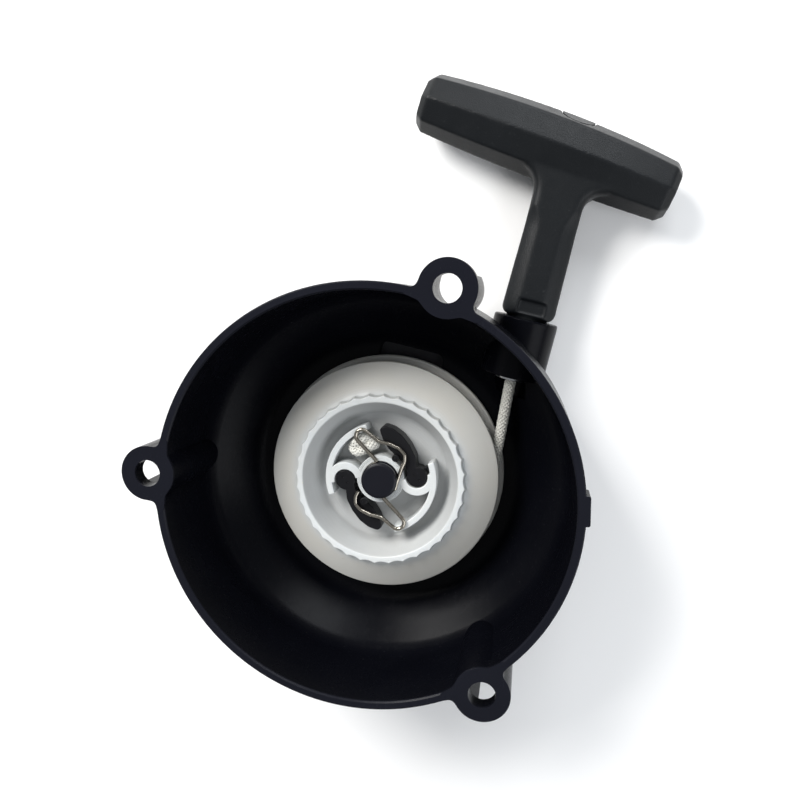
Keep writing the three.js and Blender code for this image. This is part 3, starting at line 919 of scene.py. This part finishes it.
def clip_route():
    """One wire: a hook round each lug, a hairpin beyond it, and a wrap round the post's neck."""
    half = [*arc(1.7, 237, 57, 8, (-7, 9.8)), (-2.6, 9.6), (0.3, 9.7), (2.9, 9.2), (4.7, 8), (5.1, 6.2),
            (4.75, 4.6)]
    mirrored = [(-x, -y) for x, y in reversed(half)]
    tail = [(4.6, 2.7), (4.4, 0.6), (4.35, -1.8)]
    points = [*mirrored, *arc(4.2, 288, 128, 8), (-1.75, 4.4), *half, *tail]
    corners = rounded(points, 1.2, 5)[6:-6]
    route = [Vector((*p, 16.55)) for p in [Vector(points[0]), *corners, Vector(points[-1])]]
    return even(through(even(route, 0.5), 3), 0.2)


class STARTER_OT_pawls(bpy.types.Operator):
    """Two swinging pawls and the wire friction clip that drives them"""
    bl_idname = "starter.pawls"
    bl_label = "Pawls and clip"

    def execute(self, context):
        colours = context.scene.starter_colours
        black = moulded_black("pawl_plastic", colours.pawl, 0.4, 0.05, 0.8)
        first = make_pawl()
        second = twin(first, "pawl_arm_2", 180)
        fit(first, "pawl_1_body", "pawl_plastic", black, "pawl_1")
        fit(second, "pawl_2_body", "pawl_plastic", black, "pawl_2")
        clip = wire_piece("clip_wire", clip_route(), context.scene.starter_reel.wire / MM, 5)
        fit(clip, "clip_body", "clip_steel", drawn_steel("clip_steel", colours.steel, 0.2), "friction_clip")
        return {"FINISHED"}


# ---------------------------------------------------------------- rope

def lead_points():
    """The last part of the outermost turn, the straight run and the stretch through the guide."""
    turned_part = [polar(27.3, -115 + 10.7 * i) for i in range(12)]
    straight = [(27.26, 6), (26.4, 20), (25.55, 33), (PULL_X, 38), (PULL_X, 43.6)]
    return [(x, y, ROPE_HEIGHT) for x, y in [*turned_part, *straight]]


def winding_points():
    """Turns of rope that lie in two staggered rows, each further out than the last."""
    per_turn, turns, start = 16, 3, 19.3
    points = []
    for i in range(per_turn * turns + 1):
        row = 1 if (i // per_turn) % 2 else -1
        share = min(1.0, (i % per_turn) / 3) if i >= per_turn else 1.0
        height = ROPE_HEIGHT - 0.1 + row * (2 * share - 1) * 1.05
        points.append((*polar(start + 2.3 * i / per_turn, 360 * i / per_turn), height))
    return points


KNOT = [(-9.6, 9.6, 8.9), (-8.4, 8.2, 10.6), (-9, 7, 12), (-9.1, 5.7, 13.4), (-7.7, 5.1, 14.2),
        (-6, 6.3, 14.4), (-4.6, 7.4, 13.8), (-3.8, 7.9, 12.6), (-5, 8.6, 12.6), (-6.5, 8.9, 13.7),
        (-7.6, 8.3, 14.5), (-8.5, 7, 14.3), (-8.9, 5.9, 13)]


class STARTER_OT_rope(bpy.types.Operator):
    """Braided rope: on the reel, through the guide, and up to the handle"""
    bl_idname = "starter.rope"
    bl_label = "Rope"

    def execute(self, context):
        colours = context.scene.starter_colours
        strands = braided_rope("rope_braid", colours.rope, False)
        woven = braided_rope("rope_woven", colours.rope, True)
        radius = context.scene.starter_rope.radius / MM
        fit(braid("rope_to_guide", lead_points()), "housing_body", "rope_braid", strands, "rope_lead")
        fit(braid("rope_knot", KNOT, 12, 1.0), "reel_body", "rope_braid", strands, "rope_reel_knot")
        turns = wire_piece("rope_turns", even(through(winding_points(), 6), 0.8), radius, 5)
        fit(turns, "reel_body", "rope_braid", strands, "rope_winding")
        inside, top = 43.2, reach("rope_handle_run", 1)[1]
        leaves, held = 46.2, 52
        rings = [Vector((PULL_X, inside + (held + 2 - inside) * i / 240, ROPE_HEIGHT)) for i in range(241)]
        run = wire_piece("rope_run", [*rings, Vector((PULL_X, top, ROPE_HEIGHT))], radius, 6)
        run.data.materials.clear()
        run.data.materials.append(woven)
        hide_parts("rope_handle_run")
        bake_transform(run)
        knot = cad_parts["rope_handle_knot"]
        knot.data.materials.clear()
        knot.data.materials.append(woven)
        return {"FINISHED"}


# ---------------------------------------------------------------- handle

BAR_CENTRE = 88.3
STEM_FOOT = 48.3
SPIGOT = {"radius": 4.9, "start": 44.6, "end": 52}
KNOT_CHAMBER = {"radius": 4.2, "start": 87.9, "end": 102}
ROPE_BORE = {"radius": 2.1, "start": 40, "end": 90}
PLUG = {"radius": 4.1, "end": 104}


def handle_bar():
    """An eight-sided bar, thickest over the stem, with its top side bowed and its ends chamfered."""
    s = bpy.context.scene.starter_handle
    left, right, radius = s.left / MM, s.right / MM, s.bar / MM
    end, chamfer, bow, steps = 7.3, 1.7, 0.5, 12
    outline = [(0, -left + 0.4), (end - chamfer, -left)]
    for i in range(steps + 1):
        share = 2 * i / steps - 1
        place = -left + 1.8 + (left + right - 3.6) * i / steps
        outline.append((end + (radius - end) * (1 - share ** 2), place))
    outline += [(end - chamfer, right), (0, right - 0.4)]
    bar = turned("handle_grip", outline, 8)
    for vertex in bar.data.vertices:
        span = left if vertex.co.z < 0 else right
        vertex.co.x -= bow * MM * (1 - (vertex.co.z / MM / span) ** 2)
    lie = Matrix.Rotation(s.tilt - tau / 4, 4, "Z") @ Matrix.Rotation(-tau / 4, 4, "X")
    bar.data.transform(Matrix.Translation(Vector((PULL_X, BAR_CENTRE, ROPE_HEIGHT)) * MM)
                       @ Matrix.Diagonal((1, 1, 0.9, 1)) @ lie)
    return bar


def handle_stem():
    """The stem's outline flares into the bar; an oval rounds its long edges."""
    s = bpy.context.scene.starter_handle
    half, slope = s.depth / MM / 2, math.tan(s.tilt)
    points = [(-6.65, STEM_FOOT), (-6.1, 70), (-6.1, 81.3 - 6.1 * slope), (-19, 83.6 - 19 * slope), (-14, 89),
              (14, 86), (17, 83.2 + 17 * slope), (6.3, 81.3 + 6.3 * slope), (6.3, 70), (6.65, STEM_FOOT)]
    outline = rounded(points, [0, 0, 7, 0, 0, 0, 0, 6, 0, 0], 10)
    stem = plate("stem", [(x + PULL_X, y) for x, y in outline], ROPE_HEIGHT - half, ROPE_HEIGHT + half)
    soften(stem, 2.1, 5)
    tube = [(0, STEM_FOOT - 1), (7.7, STEM_FOOT - 1), (7.7, 73), (10.5, 80), (26, 88), (26, 100), (0, 100)]
    oval = turned("stem_oval", rounded(tube, [0, 0, 20, 14, 0, 0, 0], 8), 96)
    oval.data.transform(Matrix.Translation(Vector((PULL_X, 0, ROPE_HEIGHT)) * MM)
                        @ Matrix.Diagonal((1, 1, half / 7.2, 1)) @ Matrix.Rotation(-tau / 4, 4, "X"))
    return cut_or_join(stem, "INTERSECT", oval)


def moulded(piece, voxel, rounds):
    """Blends the joins and rounds the edges as a mould does."""
    use(piece, "REMESH", mode="VOXEL", voxel_size=voxel * MM, adaptivity=0.0)
    return use(piece, "SMOOTH", factor=0.5, iterations=rounds)


class STARTER_OT_handle(bpy.types.Operator):
    """T-handle with its stem, and the plug over the knot"""
    bl_idname = "starter.handle"
    bl_label = "Handle"

    def execute(self, context):
        colours = context.scene.starter_colours
        plastic = moulded_black("handle_plastic", colours.handle, 0.38, 0.09, 0.5, 0.2)
        grip = cut_or_join(handle_bar(), "UNION", handle_stem())
        spigot = pull_rod("spigot", SPIGOT["radius"], SPIGOT["start"], SPIGOT["end"], 64)
        cut_or_join(grip, "UNION", spigot)
        top = ROPE_HEIGHT + context.scene.starter_handle.depth / MM / 2
        pocket = [(PULL_X - 2.9, 49.2), (PULL_X + 4.1, 49.2), (PULL_X + 4.1, 52.6), (PULL_X - 2.9, 52.6)]
        cut_or_join(grip, "DIFFERENCE", plate("pocket", rounded(pocket, 0.8, 4), top - 0.9, top + 2))
        bore = pull_rod("rope_bore", ROPE_BORE["radius"], ROPE_BORE["start"], ROPE_BORE["end"], 48)
        cut_or_join(grip, "DIFFERENCE", bore)
        chamber = pull_rod("knot_chamber", KNOT_CHAMBER["radius"], KNOT_CHAMBER["start"],
                           KNOT_CHAMBER["end"], 64)
        cut_or_join(grip, "DIFFERENCE", chamber)
        smooth(moulded(grip, 0.3, 9), 60)
        fit(grip, "handle_body", "handle_plastic", plastic, "handle")
        plug = pull_rod("knot_plug", PLUG["radius"], reach("handle_plug", 1)[0], PLUG["end"], 64)
        cut_or_join(plug, "INTERSECT", handle_bar())
        smooth(plug, 35, True)
        fit(plug, "handle_body", "handle_plastic", plastic, "handle_plug")
        return {"FINISHED"}


# ---------------------------------------------------------------- stage

CAMERA_PLACE = Vector((25.2, 54.9, 201.5))
CAMERA_AHEAD = Vector((-0.1313, -0.1772, -0.9754))
CAMERA_UP = Vector((-0.2523, 0.9575, -0.1400))
LENS = 34.07

LAMPS = {
    "key": {"place": (-420, 330, 420), "size": 320, "power": 6.4, "colour": (1.0, 0.985, 0.96)},
    "fill": {"place": (420, -120, 330), "size": 420, "power": 1.6, "colour": (0.95, 0.97, 1.0)},
    "back": {"place": (60, 520, 260), "size": 260, "power": 1.6, "colour": (0.94, 0.97, 1.0)},
}


class STARTER_OT_stage(bpy.types.Operator):
    """Pale floor, soft lamps and the camera"""
    bl_idname = "starter.stage"
    bl_label = "Stage"

    def execute(self, context):
        scene = context.scene
        clear_selection()
        bpy.ops.mesh.primitive_circle_add(vertices=96, radius=3, fill_type="NGON",
                                          location=(0, 0, -0.02 * MM))
        floor = settle(named("floor"))
        floor.data.materials.append(pale_floor("floor_paint", scene.starter_colours.floor))
        aim = Vector((10, 20, 10)) * MM
        for name, lamp in LAMPS.items():
            clear_selection()
            place = Vector(lamp["place"]) * MM
            bpy.ops.object.light_add(type="AREA", location=place,
                                     rotation=(aim - place).to_track_quat("-Z", "Y").to_euler())
            light = bpy.context.active_object
            light.name = light.data.name = name + "_lamp"
            light.data.size = lamp["size"] * MM
            light.data.energy = lamp["power"]
            light.data.color = lamp["colour"]
        world = bpy.data.worlds.new("soft_room")
        world.use_nodes = True
        world.node_tree.nodes["Background"].inputs["Color"].default_value = (0.95, 0.975, 1, 1)
        world.node_tree.nodes["Background"].inputs["Strength"].default_value = 0.36
        scene.world = world
        scene.view_settings.view_transform = "Standard"
        clear_selection()
        bpy.ops.object.camera_add(location=CAMERA_PLACE * MM)
        camera = bpy.context.active_object
        camera.name = camera.data.name = "camera"
        right = CAMERA_AHEAD.cross(CAMERA_UP).normalized()
        back = -CAMERA_AHEAD.normalized()
        camera.rotation_euler = Matrix((right, back.cross(right), back)).transposed().to_euler()
        camera.data.lens = LENS
        camera.data.clip_start = 5 * MM
        scene.camera = camera
        return {"FINISHED"}


# ---------------------------------------------------------------- add-on

OPERATORS = (STARTER_OT_stage, STARTER_OT_housing, STARTER_OT_post, STARTER_OT_reel, STARTER_OT_pawls,
             STARTER_OT_rope, STARTER_OT_handle)


class STARTER_PT_panel(bpy.types.Panel):
    """Sizes, colours and building steps of the recoil starter"""
    bl_idname = "STARTER_PT_panel"
    bl_label = "Recoil Starter"
    bl_space_type = "VIEW_3D"
    bl_region_type = "UI"
    bl_category = "Starter"

    def draw(self, context):
        for operator in OPERATORS:
            self.layout.operator(operator.bl_idname)
        for group_name, group in GROUPS.items():
            box = self.layout.box()
            for prop in group.__annotations__:
                box.prop(getattr(context.scene, group_name), prop)


def register():
    for group_name, group in GROUPS.items():
        bpy.utils.register_class(group)
        setattr(bpy.types.Scene, group_name, PointerProperty(type=group))
    for operator in OPERATORS:
        bpy.utils.register_class(operator)
    bpy.utils.register_class(STARTER_PT_panel)


def unregister():
    bpy.utils.unregister_class(STARTER_PT_panel)
    for operator in reversed(OPERATORS):
        bpy.utils.unregister_class(operator)
    for group_name, group in GROUPS.items():
        delattr(bpy.types.Scene, group_name)
        bpy.utils.unregister_class(group)


def main():
    register()
    clear_selection()
    for operator in OPERATORS:
        family, action = operator.bl_idname.split(".")
        getattr(getattr(bpy.ops, family), action)()


if __name__ == "__main__":
    main()
